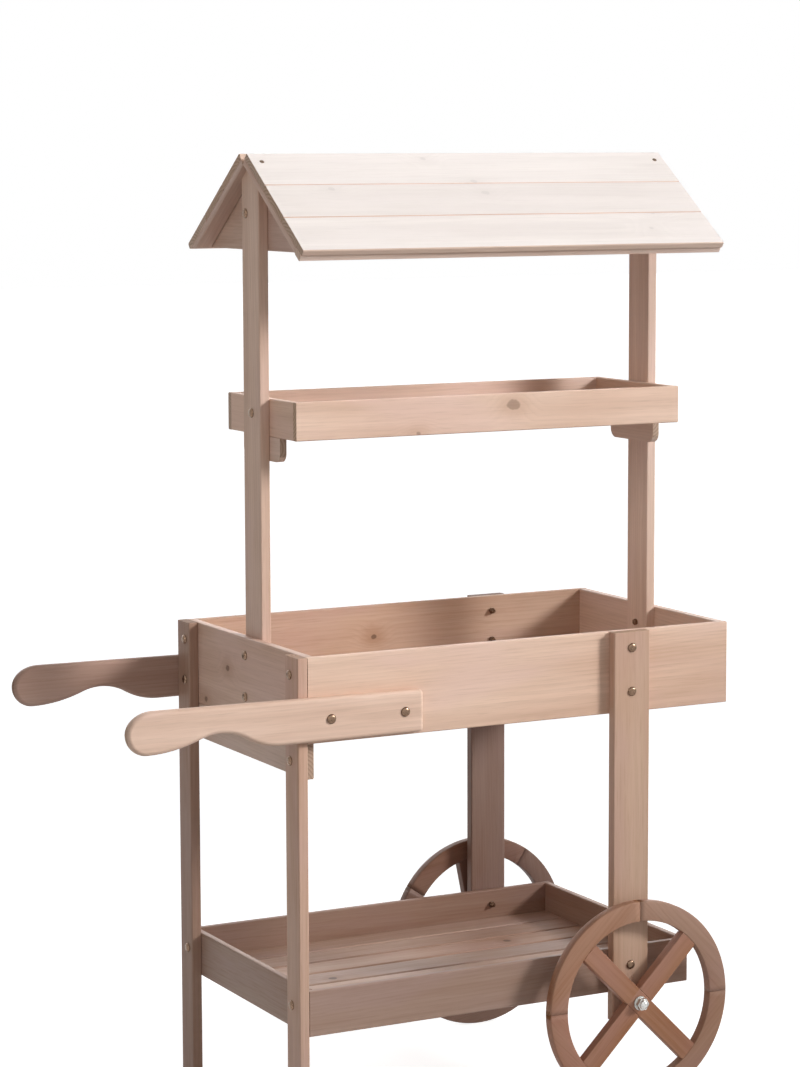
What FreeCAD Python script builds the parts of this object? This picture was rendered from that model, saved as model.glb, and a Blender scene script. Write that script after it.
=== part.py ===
import FreeCAD, Part
import math
import os

os.makedirs("parts", exist_ok=True)
V = FreeCAD.Vector

# A wooden flower cart stand: a deep planting tray on four legs, two of them on wheels, with a
# slatted tray underneath and two posts that carry a shelf and a small gabled roof.
# Millimetres. x runs along the cart from the handles (-) to the wheels (+), y across it from
# front (-) to rear (+), and z up from the floor. Until it is written out, x = 0 is the middle
# of the planting tray.

# ---- timber stock ----
BOARD = 12.0                # thin boards: trays, shelf, roof
END_BOARD = 16.0            # ends of the planting tray and the apron under one of them
STOUT_BOARD = 18.0          # posts, legs and handles
EASE = 1.5                  # chamfer along every board's long edges
SLAT_COUNT = 7              # floor slats of each tray
SLAT_GAP = 6.3
BEARER_WIDTH = 45.0         # cross pieces under the floor slats
BEARER_INSET = 50.0         # from the end boards to the outer bearers

# ---- planting tray ----
TRAY_LENGTH = 800.0
TRAY_DEPTH = 475.0
TRAY_TOP = 807.0            # top edge above the floor
TRAY_WALL = 140.0           # height of its boards
APRON_HEIGHT = 60.0         # rail below the end board between the handles

# ---- lower tray ----
LOWER_WALL = 76.0
LOWER_SETBACK = 76.0        # its wheel end, in from the planting tray's wheel end

# ---- legs ----
FOOT_LEG_WIDTH = 48.0       # legs that stand on the floor, at the handle end
WHEEL_LEG_WIDTH = 70.0      # legs that carry the axle
WHEEL_LEG_SETBACK = 202.0   # their middle, in from the planting tray's wheel end
WHEEL_LEG_TAIL = 35.0       # how far they run on below the axle

# ---- handles ----
HANDLE_LAP = 201.5          # square end, in from the planting tray's end
HANDLE_REACH = 319.0        # rounded tip, out from the planting tray's end
HANDLE_HEIGHT = 70.0
HANDLE_DROP = 65.0          # from the tray's top edge to the handle's top, at the square end
GRIP_RADIUS = 35.0          # rounded nose
GRIP_RISE = 5.0             # how much the nose stands above the square end
WAIST_REACH = 160.0         # highest point of the hollow, out from the tray's end
WAIST_DEPTH = 29.0
WAIST_RADIUS = 90.0
WAIST_RUN = 106.0           # from the straight underside to that point
HANDLE_EASE = 4.5           # chamfer round the handle's outline

# ---- posts and shelf ----
POST_WIDTH = 64.0
SHELF_BOTTOM = 336.0        # above the planting tray's top edge
SHELF_WALL = 63.0
SHELF_DEPTH = 264.0
SHELF_SLATS = 4
SHELF_SLAT_GAP = 4.0
CLEAT_LENGTH = 140.0
CLEAT_HEIGHT = 40.0
CLEAT_ROUND = 16.0

# ---- roof ----
ROOF_APEX = 780.5           # where the rafters meet, above the planting tray's top edge
ROOF_PITCH = 36.0           # degrees
ROOF_OVERHANG = 12.0        # beyond the posts' outer faces
PLANKS = 3                  # on each slope
PLANK_WIDTH = 86.5
EAVE_STRIP_WIDTH = 20.0
EAVE_SETBACK = 2.5

# ---- wheels ----
WHEEL_RADIUS = 175.0
RIM_WIDTH = 34.0
WHEEL_THICKNESS = 18.0
RIM_CHAMFER = 2.0
SPOKE_WIDTH = 34.0
TENON_LENGTH = 12.0
TENON_THICKNESS = 8.0
FRONT_WHEEL_TURN = 45.0     # degrees about +y from spokes that stand upright
REAR_WHEEL_TURN = -11.2
AXLE_RADIUS = 6.0
AXLE_CLEARANCE = 0.05
AXLE_GAP = 4.5              # between the axle and the lower tray's underside
BUSH_RADIUS = 9.0
SPACER_RADIUS = 14.0
SPACER_LENGTH = 12.0
WHEEL_PLAY = 0.3            # at each side of a wheel
AXLE_WASHER_RADIUS = 12.0
AXLE_WASHER = 2.0
AXLE_NUT_FLATS = 19.0
AXLE_NUT_HEIGHT = 10.0
AXLE_NUT_CROWN = ((0.46, 0.0), (0.38, 3.6), (0.2, 6.0))   # radius / flats, height past the hexagon
COLLAR_SIDES = 24           # flats that stand for round on the axle's spacers and washers

# ---- bolts ----
BOLT_RADIUS = 3.0
BOLT_LENGTH = 40.0
BOLT_HEAD_RADIUS = 8.0
BOLT_HEAD_HEIGHT = 4.0
BOLT_HEAD_TOP = 0.6         # its flat top's radius over the head's
BOLT_SIDES = 8              # flats that stand for round on the many small bolts, holes and nuts
HOLE_CLEARANCE = 0.25
NUT_FLATS = 10.0
NUT_HEIGHT = 5.0
NUT_CLEARANCE = 0.05
TRAY_BOLT_DROPS = (30.0, 100.0)         # below the tray's top edge: foot legs and posts
HANDLE_BOLT_SETS = (33.0, 167.0)        # in from the planting tray's end
HANDLE_BOLT_DROP = 33.5                 # below the handle's top
FRONT_WHEEL_LEG_DROPS = (27.0, 101.5)
REAR_WHEEL_LEG_DROPS = (27.0, 80.0)
LOWER_BOLT_DROP = 27.0                  # below the lower tray's top edge
SHELF_BOLT_RISE = 38.0                  # above the shelf's bottom
GABLE_BOLT_DROP = 79.0                  # below the roof's apex
GABLE_BOLT_Y = 17.0

# ---- places that follow from them ----
half_length = TRAY_LENGTH / 2
half_depth = TRAY_DEPTH / 2
inner_depth = half_depth - BOARD
tray_bottom = TRAY_TOP - TRAY_WALL
outer_face = half_depth + STOUT_BOARD   # of the handles and the wheel legs
foot_leg_face = half_length + STOUT_BOARD
post_outer = half_length - END_BOARD
post_inner = post_outer - STOUT_BOARD
tray_floor = tray_bottom + 2 * BOARD    # top of the slats, on bearers flush with the boards
shelf_bottom = TRAY_TOP + SHELF_BOTTOM
shelf_top = shelf_bottom + SHELF_WALL
shelf_half_depth = SHELF_DEPTH / 2
shelf_inner = shelf_half_depth - BOARD
apex = TRAY_TOP + ROOF_APEX
roof_half = post_outer + ROOF_OVERHANG
slope_length = PLANKS * PLANK_WIDTH
strip_start = slope_length - EAVE_SETBACK - EAVE_STRIP_WIDTH
pitch_sin = math.sin(math.radians(ROOF_PITCH))
pitch_cos = math.cos(math.radians(ROOF_PITCH))
gable_bottom = apex - strip_start * pitch_sin
axle_height = WHEEL_RADIUS
lower_bottom = axle_height + AXLE_RADIUS + AXLE_GAP
lower_top = lower_bottom + LOWER_WALL
wheel_leg_x = half_length - WHEEL_LEG_SETBACK
handle_end = HANDLE_LAP - half_length
handle_tip = -half_length - HANDLE_REACH
waist_x = -half_length - WAIST_REACH
rim_inner = WHEEL_RADIUS - RIM_WIDTH
wheel_inner_face = outer_face + SPACER_LENGTH + WHEEL_PLAY
wheel_outer_face = wheel_inner_face + WHEEL_THICKNESS
washer_face = wheel_outer_face + WHEEL_PLAY
axle_nut_seat = washer_face + AXLE_WASHER
axle_half = axle_nut_seat + AXLE_NUT_HEIGHT
foot_leg_bolt_y = (half_depth - FOOT_LEG_WIDTH + inner_depth) / 2
origin_x = (handle_tip + half_length + BOLT_HEAD_HEIGHT) / 2


# ---- helpers ----

def save(name, *solids):
    """Write one node, with the frame's origin moved under the middle of the whole cart."""
    shape = solids[0] if len(solids) == 1 else Part.makeCompound(list(solids))
    placed = shape.copy()
    placed.translate(V(-origin_x, 0, 0))
    placed.exportStep(f"parts/{name}.step")


def board(x_span, y_span, z_span, along):
    """A board between three pairs of limits, its four edges along one axis chamfered."""
    low = V(x_span[0], y_span[0], z_span[0])
    high = V(x_span[1], y_span[1], z_span[1])
    size = high - low
    solid = Part.makeBox(size.x, size.y, size.z, low)
    return solid.makeChamfer(EASE, edges_along(solid, along))


def edges_along(solid, along):
    """The straight edges of a solid that run along one axis."""
    found = []
    for edge in solid.Edges:
        start, end = edge.Vertexes[0].Point, edge.Vertexes[-1].Point
        if abs((end - start).dot(along)) > 0.999 * edge.Length:
            found.append(edge)
    return found


def prism(points, thickness):
    """Extrude a closed outline of points along a vector."""
    return Part.Face(Part.makePolygon(points + points[:1])).extrude(thickness)


def ring(sides, corner, height):
    """Corners of a regular polygon about the z axis."""
    points = []
    for step in range(sides):
        turn = 2 * math.pi * step / sides
        points.append(V(corner * math.cos(turn), corner * math.sin(turn), height))
    return points


def rod(radius, length, sides=BOLT_SIDES):
    """A many-sided rod standing on z = 0."""
    return prism(ring(sides, radius, 0), V(0, 0, length))


def collar(radius, bore, length):
    """A many-sided washer or spacer standing on z = 0, round enough to read as turned."""
    return rod(radius, length, COLLAR_SIDES).cut(rod(bore, length, COLLAR_SIDES))


def hexagon(flats, height):
    """A hexagonal prism standing on z = 0."""
    return prism(ring(6, flats / 2 / math.cos(math.pi / 6), 0), V(0, 0, height))


def stand(shape, seat, direction):
    """Turn a piece that was made along +z to another direction and put it on its seat."""
    placed = shape.copy()
    placed.Placement = FreeCAD.Placement(seat, FreeCAD.Rotation(V(0, 0, 1), direction))
    return placed


def mirrored_span(side, near, far):
    """Limits at one side of a middle plane, in rising order."""
    return (near, far) if side > 0 else (-far, -near)


# ---- bolts: each is (seat under its head, direction of its shank, thickness it clamps) ----

def bolt_across(x, z, side, grip):
    """A bolt driven inwards through the front (-1) or rear (+1) boards."""
    return (V(x, side * outer_face, z), V(0, -side, 0), grip)


def bolt_along(x_face, y, z, side, grip):
    """A bolt driven inwards through the handle-end (-1) or wheel-end (+1) boards."""
    return (V(side * x_face, y, z), V(-side, 0, 0), grip)


def drilled(shape, bolts):
    """Bore a clearance hole for each bolt."""
    for seat, direction, grip in bolts:
        hole = rod(BOLT_RADIUS + HOLE_CLEARANCE, grip)
        shape = shape.cut(stand(hole, seat, direction))
    return shape


def carriage_bolt():
    """A low head below z = 0 and a plain shank above it."""
    outline = []
    top = BOLT_HEAD_TOP * BOLT_HEAD_RADIUS
    for radius, height in ((BOLT_HEAD_RADIUS, 0), (top, -BOLT_HEAD_HEIGHT)):
        corners = ring(BOLT_SIDES, radius, height)
        outline.append(Part.makePolygon(corners + corners[:1]))
    dome = Part.makeLoft(outline, True, True)
    return dome.fuse(rod(BOLT_RADIUS, BOLT_LENGTH))


def hex_nut():
    """A nut standing on z = 0."""
    return hexagon(NUT_FLATS, NUT_HEIGHT).cut(rod(BOLT_RADIUS + NUT_CLEARANCE, NUT_HEIGHT))


def handle_bolts():
    drop = HANDLE_DROP + HANDLE_BOLT_DROP
    grip = STOUT_BOARD + BOARD
    places = []
    for side in (-1, 1):
        for inset in HANDLE_BOLT_SETS:
            places.append(bolt_across(inset - half_length, TRAY_TOP - drop, side, grip))
    return places


def wheel_leg_bolts(side):
    drops = FRONT_WHEEL_LEG_DROPS if side < 0 else REAR_WHEEL_LEG_DROPS
    heights = [TRAY_TOP - drop for drop in drops] + [lower_top - LOWER_BOLT_DROP]
    return [bolt_across(wheel_leg_x, z, side, STOUT_BOARD + BOARD) for z in heights]


def foot_leg_bolts(side):
    y = side * foot_leg_bolt_y
    places = []
    for drop in TRAY_BOLT_DROPS:
        grip = STOUT_BOARD + END_BOARD
        places.append(bolt_along(foot_leg_face, y, TRAY_TOP - drop, -1, grip))
    apron_middle = tray_bottom - APRON_HEIGHT / 2
    places.append(bolt_along(foot_leg_face, y, apron_middle, -1, STOUT_BOARD + END_BOARD))
    low = lower_top - LOWER_BOLT_DROP
    places.append(bolt_along(foot_leg_face, y, low, -1, STOUT_BOARD + BOARD))
    return places


def post_bolts(side):
    places = []
    for drop in TRAY_BOLT_DROPS:
        grip = END_BOARD + STOUT_BOARD
        places.append(bolt_along(half_length, 0, TRAY_TOP - drop, side, grip))
    grip = STOUT_BOARD + BOARD
    places.append(bolt_along(post_outer, 0, shelf_bottom + SHELF_BOLT_RISE, side, grip))
    places.append(bolt_along(post_outer, GABLE_BOLT_Y, apex - GABLE_BOLT_DROP, side, grip))
    return places


def save_bolts():
    """One node for each group of bolts, and one for all their nuts."""
    groups = {
        "handle_bolts": handle_bolts(),
        "wheel_leg_bolts": wheel_leg_bolts(-1) + wheel_leg_bolts(1),
        "foot_leg_bolts": foot_leg_bolts(-1) + foot_leg_bolts(1),
        "post_bolts": post_bolts(-1) + post_bolts(1),
    }
    bolt = carriage_bolt()
    nut = hex_nut()
    nuts = []
    for name, places in groups.items():
        save(name, *[stand(bolt, seat, direction) for seat, direction, grip in places])
        nuts += [stand(nut, seat + direction * grip, direction) for seat, direction, grip in places]
    save("bolt_nuts", *nuts)


# ---- trays ----

def slats(x_span, half_width, count, gap, bottom):
    """Floor boards side by side, filling the depth between two long boards."""
    width = (2 * half_width - (count - 1) * gap) / count
    made = []
    for index in range(count):
        start = -half_width + index * (width + gap)
        made.append(board(x_span, (start, start + width), (bottom, bottom + BOARD), V(1, 0, 0)))
    return made


def bearers(x_span, bottom):
    """Three cross pieces under a tray's slats."""
    first = x_span[0] + BEARER_INSET
    last = x_span[1] - BEARER_INSET - BEARER_WIDTH
    made = []
    for start in (first, (first + last) / 2, last):
        span = (start, start + BEARER_WIDTH)
        y_span = (-inner_depth, inner_depth)
        made.append(board(span, y_span, (bottom, bottom + BOARD), V(0, 1, 0)))
    return made


def planting_tray():
    x_span = (-half_length, half_length)
    z_span = (tray_bottom, TRAY_TOP)
    between = (-inner_depth, inner_depth)
    for side, name in ((-1, "front"), (1, "rear")):
        y_span = mirrored_span(side, inner_depth, half_depth)
        long_board = board(x_span, y_span, z_span, V(1, 0, 0))
        save(f"tray_board_{name}", drilled(long_board, handle_bolts() + wheel_leg_bolts(side)))
    for side, name in ((-1, "left"), (1, "right")):
        end = board(mirrored_span(side, post_outer, half_length), between, z_span, V(0, 1, 0))
        end = drilled(end, post_bolts(side))
        if side < 0:
            end = drilled(end, foot_leg_bolts(-1) + foot_leg_bolts(1))
        save(f"tray_end_{name}", end)
    apron = board(mirrored_span(-1, post_outer, half_length), between,
                  (tray_bottom - APRON_HEIGHT, tray_bottom), V(0, 1, 0))
    save("apron", drilled(apron, foot_leg_bolts(-1) + foot_leg_bolts(1)))
    inside = (-post_outer, post_outer)
    save("tray_slats", *slats(inside, inner_depth, SLAT_COUNT, SLAT_GAP, tray_bottom + BOARD))
    save("tray_bearers", *bearers(inside, tray_bottom))


def lower_tray():
    x_span = (-half_length, half_length - LOWER_SETBACK)
    z_span = (lower_bottom, lower_top)
    inside = (x_span[0] + BOARD, x_span[1] - BOARD)
    between = (-inner_depth, inner_depth)
    for side, name in ((-1, "front"), (1, "rear")):
        y_span = mirrored_span(side, inner_depth, half_depth)
        long_board = board(x_span, y_span, z_span, V(1, 0, 0))
        save(f"lower_board_{name}", drilled(long_board, wheel_leg_bolts(side)))
    left = board((x_span[0], inside[0]), between, z_span, V(0, 1, 0))
    save("lower_end_left", drilled(left, foot_leg_bolts(-1) + foot_leg_bolts(1)))
    save("lower_end_right", board((inside[1], x_span[1]), between, z_span, V(0, 1, 0)))
    save("lower_slats", *slats(inside, inner_depth, SLAT_COUNT, SLAT_GAP, lower_bottom + BOARD))
    save("lower_bearers", *bearers(inside, lower_bottom))


# ---- legs and handles ----

def foot_legs():
    x_span = (-foot_leg_face, -half_length)
    for side, name in ((-1, "front"), (1, "rear")):
        y_span = mirrored_span(side, half_depth - FOOT_LEG_WIDTH, half_depth)
        leg = board(x_span, y_span, (0, TRAY_TOP), V(0, 0, 1))
        save(f"foot_leg_{name}", drilled(leg, foot_leg_bolts(side)))


def wheel_legs():
    x_span = (wheel_leg_x - WHEEL_LEG_WIDTH / 2, wheel_leg_x + WHEEL_LEG_WIDTH / 2)
    z_span = (axle_height - WHEEL_LEG_TAIL, TRAY_TOP)
    for side, name in ((-1, "front"), (1, "rear")):
        y_span = mirrored_span(side, half_depth, outer_face)
        leg = board(x_span, y_span, z_span, V(0, 0, 1))
        axle_hole = Part.makeCylinder(AXLE_RADIUS + AXLE_CLEARANCE, STOUT_BOARD,
                                      V(wheel_leg_x, y_span[0], axle_height), V(0, 1, 0))
        save(f"wheel_leg_{name}", drilled(leg.cut(axle_hole), wheel_leg_bolts(side)))


def arc(centre, radius, start, end):
    """Part of a circle in the x-z plane, from one angle to another in radians."""
    points = []
    for turn in (start, (start + end) / 2, end):
        points.append(centre + V(radius * math.cos(turn), 0, radius * math.sin(turn)))
    return Part.Arc(*points).toShape()


def handle_outline():
    """Side view at y = 0: a straight part, a hollow underneath and a rounded nose."""
    top = TRAY_TOP - HANDLE_DROP
    underside = top - HANDLE_HEIGHT
    crest = underside + WAIST_DEPTH
    nose = V(handle_tip + GRIP_RADIUS, 0, top + GRIP_RISE - GRIP_RADIUS)
    hollow = V(waist_x, 0, crest - WAIST_RADIUS)
    edges = []
    # towards the square end: an arc down to the straight underside
    reach = (WAIST_RUN ** 2 + WAIST_DEPTH ** 2) / (2 * WAIST_DEPTH)
    belly = V(waist_x + WAIST_RUN, 0, underside + reach - WAIST_RADIUS)
    lean = math.asin(WAIST_RUN / reach)
    square_low = V(handle_end, 0, underside)
    edges.append(Part.makeLine(square_low, V(belly.x, 0, underside)))
    edges.append(arc(belly, reach - WAIST_RADIUS, -math.pi / 2, -math.pi / 2 - lean))
    # towards the nose: an arc down to the lowest point of the grip
    grip_drop = crest - (nose.z - GRIP_RADIUS)
    grip_run = waist_x - nose.x
    grip_reach = (grip_run ** 2 + grip_drop ** 2) / (2 * grip_drop)
    grip_lean = math.asin(grip_run / grip_reach)
    lobe = V(nose.x, 0, nose.z - GRIP_RADIUS + grip_reach - WAIST_RADIUS)
    edges.append(arc(hollow, WAIST_RADIUS, math.pi / 2 - lean, math.pi / 2 + grip_lean))
    edges.append(arc(lobe, grip_reach - WAIST_RADIUS, -math.pi / 2 + grip_lean, -math.pi / 2))
    edges.append(arc(nose, GRIP_RADIUS, -math.pi / 2, -3 * math.pi / 2))
    square_high = V(handle_end, 0, top)
    edges.append(Part.makeLine(nose + V(0, 0, GRIP_RADIUS), square_high))
    edges.append(Part.makeLine(square_high, square_low))
    return Part.Wire(edges)


def handles():
    blank = Part.Face(handle_outline()).extrude(V(0, STOUT_BOARD, 0))
    outline = []
    for edge in blank.Edges:
        if edge.BoundBox.YMax < STOUT_BOARD / 2:
            outline.append(edge)
    outside_down = blank.makeChamfer(HANDLE_EASE, outline)
    for side, name in ((-1, "front"), (1, "rear")):
        handle = outside_down.copy()
        if side > 0:
            handle = handle.mirror(V(0, 0, 0), V(0, 1, 0))
        handle.translate(V(0, side * outer_face, 0))
        save(f"handle_{name}", drilled(handle, handle_bolts()))


# ---- posts and shelf ----

def posts():
    shoulder = apex - POST_WIDTH / 2 * pitch_sin / pitch_cos
    for side, name in ((-1, "left"), (1, "right")):
        x = mirrored_span(side, post_inner, post_outer)[0]
        outline = [
            V(x, -POST_WIDTH / 2, tray_floor),
            V(x, POST_WIDTH / 2, tray_floor),
            V(x, POST_WIDTH / 2, shoulder),
            V(x, 0, apex),
            V(x, -POST_WIDTH / 2, shoulder),
        ]
        post = prism(outline, V(STOUT_BOARD, 0, 0))
        post = post.makeChamfer(EASE, edges_along(post, V(0, 0, 1)))
        save(f"post_{name}", drilled(post, post_bolts(side)))


def shelf():
    x_span = (-post_inner, post_inner)
    z_span = (shelf_bottom, shelf_top)
    across = (-shelf_inner, shelf_inner)
    for side, name in ((-1, "front"), (1, "rear")):
        y_span = mirrored_span(side, shelf_inner, shelf_half_depth)
        save(f"shelf_board_{name}", board(x_span, y_span, z_span, V(1, 0, 0)))
    for side, name in ((-1, "left"), (1, "right")):
        end_span = mirrored_span(side, post_inner - BOARD, post_inner)
        end = board(end_span, across, z_span, V(0, 1, 0))
        save(f"shelf_end_{name}", drilled(end, post_bolts(side)))
    inside = (BOARD - post_inner, post_inner - BOARD)
    save("shelf_slats", *slats(inside, shelf_inner, SHELF_SLATS, SHELF_SLAT_GAP, shelf_bottom))


def shelf_cleats():
    """Blocks on the posts' inner faces, with round lower corners, that the shelf stands on."""
    for side, name in ((-1, "left"), (1, "right")):
        span = mirrored_span(side, post_inner - BOARD, post_inner)
        low = V(span[0], -CLEAT_LENGTH / 2, shelf_bottom - CLEAT_HEIGHT)
        cleat = Part.makeBox(BOARD, CLEAT_LENGTH, CLEAT_HEIGHT, low)
        corners = []
        for edge in edges_along(cleat, V(1, 0, 0)):
            if edge.Vertexes[0].Point.z < shelf_bottom - CLEAT_HEIGHT / 2:
                corners.append(edge)
        save(f"shelf_cleat_{name}", cleat.makeFillet(CLEAT_ROUND, corners))


# ---- roof ----

def on_slope(shape, side):
    """Lay a piece on the front (-1) or rear (+1) slope.

    It was made with y running down the slope from the ridge and z = 0 at the rafters' underside.
    """
    placed = shape.copy()
    placed.rotate(V(0, 0, 0), V(1, 0, 0), -ROOF_PITCH)
    if side < 0:
        placed.rotate(V(0, 0, 0), V(0, 0, 1), 180)
    placed.translate(V(0, 0, apex))
    return placed


def roof_planks():
    along = V(1, 0, 0)
    x_span = (-roof_half, roof_half)
    for side, name in ((-1, "front"), (1, "rear")):
        for index in range(PLANKS):
            y_span = (index * PLANK_WIDTH, (index + 1) * PLANK_WIDTH)
            plank = board(x_span, y_span, (BOARD, 2 * BOARD), along)
            save(f"roof_plank_{name}_{index + 1}", on_slope(plank, side))


def rafters():
    """Under the plank ends; the front pair stops at the eave strip, the rear pair is cut level."""
    for side, name in ((-1, "front"), (1, "rear")):
        length = strip_start if side < 0 else slope_length
        for end, end_name in ((-1, "left"), (1, "right")):
            x_span = mirrored_span(side * end, post_inner, roof_half)
            rafter = on_slope(board(x_span, (0, length), (0, BOARD), V(0, 1, 0)), side)
            reach = 2 * slope_length
            below = Part.makeBox(2 * reach, 2 * reach, reach,
                                 V(-reach, -reach, gable_bottom - reach))
            save(f"rafter_{name}_{end_name}", rafter.cut(below))


def eave_strip():
    y_span = (strip_start, strip_start + EAVE_STRIP_WIDTH)
    strip = board((-roof_half, roof_half), y_span, (0, BOARD), V(1, 0, 0))
    save("eave_strip", on_slope(strip, -1))


def gable_panels():
    """Panels inside the posts, up to the planks and down to the ends of the front rafters."""
    foot = V(0, strip_start * pitch_cos, gable_bottom)
    heel = foot + V(0, BOARD * pitch_sin, BOARD * pitch_cos)
    peak = V(0, BOARD * pitch_sin, apex + BOARD * pitch_cos)
    rear = [foot, heel, peak]
    front = [V(point.x, -point.y, point.z) for point in reversed(rear)]
    for side, name in ((-1, "left"), (1, "right")):
        x = mirrored_span(side, post_inner - BOARD, post_inner)[0]
        outline = [point + V(x, 0, 0) for point in rear + front]
        panel = prism(outline, V(BOARD, 0, 0))
        save(f"gable_panel_{name}", drilled(panel, post_bolts(side)))


# ---- wheels and axle ----

def rim_segments():
    """Four quarters of the rim about the y axis, between y = 0 and the wheel's thickness."""
    chamfer = RIM_CHAMFER
    outline = [
        V(rim_inner, 0, 0),
        V(WHEEL_RADIUS - chamfer, 0, 0),
        V(WHEEL_RADIUS, chamfer, 0),
        V(WHEEL_RADIUS, WHEEL_THICKNESS - chamfer, 0),
        V(WHEEL_RADIUS - chamfer, WHEEL_THICKNESS, 0),
        V(rim_inner, WHEEL_THICKNESS, 0),
    ]
    section = Part.Face(Part.makePolygon(outline + outline[:1]))
    quarter = section.revolve(V(0, 0, 0), V(0, 1, 0), 90)
    quarter = turned(quarter, 45)
    mortise = tenon()
    segments = []
    for index in range(4):
        segments.append(turned(quarter.cut(mortise), 90 * index))
    return segments


def turned(shape, degrees):
    """Turn a copy about the wheel's axis."""
    copy = shape.copy()
    copy.rotate(V(0, 0, 0), V(0, 1, 0), degrees)
    return copy


def tenon():
    """The tongue at the lower end of an upright spoke, reaching into the rim."""
    low = -(rim_inner + TENON_LENGTH)
    corner = V(-SPOKE_WIDTH / 2, (WHEEL_THICKNESS - TENON_THICKNESS) / 2, low)
    block = Part.makeBox(SPOKE_WIDTH, TENON_THICKNESS, TENON_LENGTH + RIM_WIDTH, corner)
    inside = Part.makeCylinder(rim_inner, WHEEL_THICKNESS, V(0, 0, 0), V(0, 1, 0))
    return block.cut(inside)


def spoke_bars():
    """Two bars across the rim, lapped half and half in the middle and bored for the bush."""
    disc = Part.makeCylinder(rim_inner, WHEEL_THICKNESS, V(0, 0, 0), V(0, 1, 0))
    corner = V(-SPOKE_WIDTH / 2, 0, -WHEEL_RADIUS)
    bar = Part.makeBox(SPOKE_WIDTH, WHEEL_THICKNESS, 2 * WHEEL_RADIUS, corner).common(disc)
    bar = bar.fuse([tenon(), turned(tenon(), 180)])
    bore = stand(rod(BUSH_RADIUS, WHEEL_THICKNESS, COLLAR_SIDES), V(0, 0, 0), V(0, 1, 0))
    half = WHEEL_THICKNESS / 2
    bars = []
    for index, lap_start in enumerate((0, half)):
        lap_corner = V(-WHEEL_RADIUS, lap_start, -SPOKE_WIDTH / 2)
        lap = Part.makeBox(2 * WHEEL_RADIUS, half, SPOKE_WIDTH, lap_corner)
        bars.append(turned(bar.cut([lap, bore]), 90 * index))
    return bars


def wheels():
    bore = Part.makeCylinder(AXLE_RADIUS + AXLE_CLEARANCE, WHEEL_THICKNESS)
    bush = rod(BUSH_RADIUS, WHEEL_THICKNESS, COLLAR_SIDES).cut(bore)
    bush = stand(bush, V(0, 0, 0), V(0, 1, 0))
    sides = ((-1, "front", FRONT_WHEEL_TURN), (1, "rear", REAR_WHEEL_TURN))
    for side, name, turn in sides:
        y = mirrored_span(side, wheel_inner_face, wheel_outer_face)[0]
        nodes = {"wheel_rim": rim_segments(), "wheel_spokes": spoke_bars(), "wheel_bush": [bush]}
        for node, solids in nodes.items():
            placed = []
            for solid in solids:
                copy = turned(solid, turn)
                copy.translate(V(wheel_leg_x, y, axle_height))
                placed.append(copy)
            save(f"{node}_{name}", *placed)


def domed_nut():
    """A blind nut on z = 0 that closes over the end of the axle."""
    flat = hexagon(AXLE_NUT_FLATS, AXLE_NUT_HEIGHT)
    outline = []
    for share, rise in AXLE_NUT_CROWN:
        corners = ring(2 * BOLT_SIDES, share * AXLE_NUT_FLATS, AXLE_NUT_HEIGHT + rise)
        outline.append(Part.makePolygon(corners + corners[:1]))
    socket = Part.makeCylinder(AXLE_RADIUS + NUT_CLEARANCE, AXLE_NUT_HEIGHT)
    return flat.fuse(Part.makeLoft(outline, True, True)).cut(socket)


def axle():
    across = V(0, 1, 0)
    start = V(wheel_leg_x, -axle_half, axle_height)
    save("axle_rod", Part.makeCylinder(AXLE_RADIUS, 2 * axle_half, start, across))
    spacers = []
    washers = []
    nuts = []
    bore = (AXLE_RADIUS + AXLE_CLEARANCE) / math.cos(math.pi / COLLAR_SIDES)
    for side in (-1, 1):
        outwards = V(0, side, 0)
        leg_face = V(wheel_leg_x, side * outer_face, axle_height)
        spacers.append(stand(collar(SPACER_RADIUS, bore, SPACER_LENGTH), leg_face, outwards))
        washer_seat = V(wheel_leg_x, side * washer_face, axle_height)
        washer = collar(AXLE_WASHER_RADIUS, bore, AXLE_WASHER)
        washers.append(stand(washer, washer_seat, outwards))
        nut_seat = V(wheel_leg_x, side * axle_nut_seat, axle_height)
        nuts.append(stand(domed_nut(), nut_seat, outwards))
    save("axle_spacers", *spacers)
    save("axle_washers", *washers)
    save("axle_nuts", *nuts)


planting_tray()
lower_tray()
foot_legs()
wheel_legs()
handles()
posts()
shelf()
shelf_cleats()
roof_planks()
rafters()
eave_strip()
gable_panels()
wheels()
axle()
save_bolts()
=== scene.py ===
import bmesh
import bpy
import math
import random
from mathutils import Euler, Matrix, Vector

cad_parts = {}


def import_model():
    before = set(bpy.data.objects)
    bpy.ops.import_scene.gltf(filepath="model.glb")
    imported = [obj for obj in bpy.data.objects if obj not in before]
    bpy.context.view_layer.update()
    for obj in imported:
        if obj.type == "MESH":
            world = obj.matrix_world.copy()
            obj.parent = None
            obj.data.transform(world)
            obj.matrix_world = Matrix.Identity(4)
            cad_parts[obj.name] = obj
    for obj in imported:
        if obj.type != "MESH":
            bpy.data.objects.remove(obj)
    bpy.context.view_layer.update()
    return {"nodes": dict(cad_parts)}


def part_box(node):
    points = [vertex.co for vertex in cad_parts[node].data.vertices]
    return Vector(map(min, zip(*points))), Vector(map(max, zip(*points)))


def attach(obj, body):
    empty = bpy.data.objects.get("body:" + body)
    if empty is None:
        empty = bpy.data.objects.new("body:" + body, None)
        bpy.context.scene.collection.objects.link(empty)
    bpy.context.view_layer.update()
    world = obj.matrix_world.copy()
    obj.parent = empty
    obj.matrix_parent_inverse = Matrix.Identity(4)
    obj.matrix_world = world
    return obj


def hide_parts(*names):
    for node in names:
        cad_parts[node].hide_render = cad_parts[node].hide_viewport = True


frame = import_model()

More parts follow.
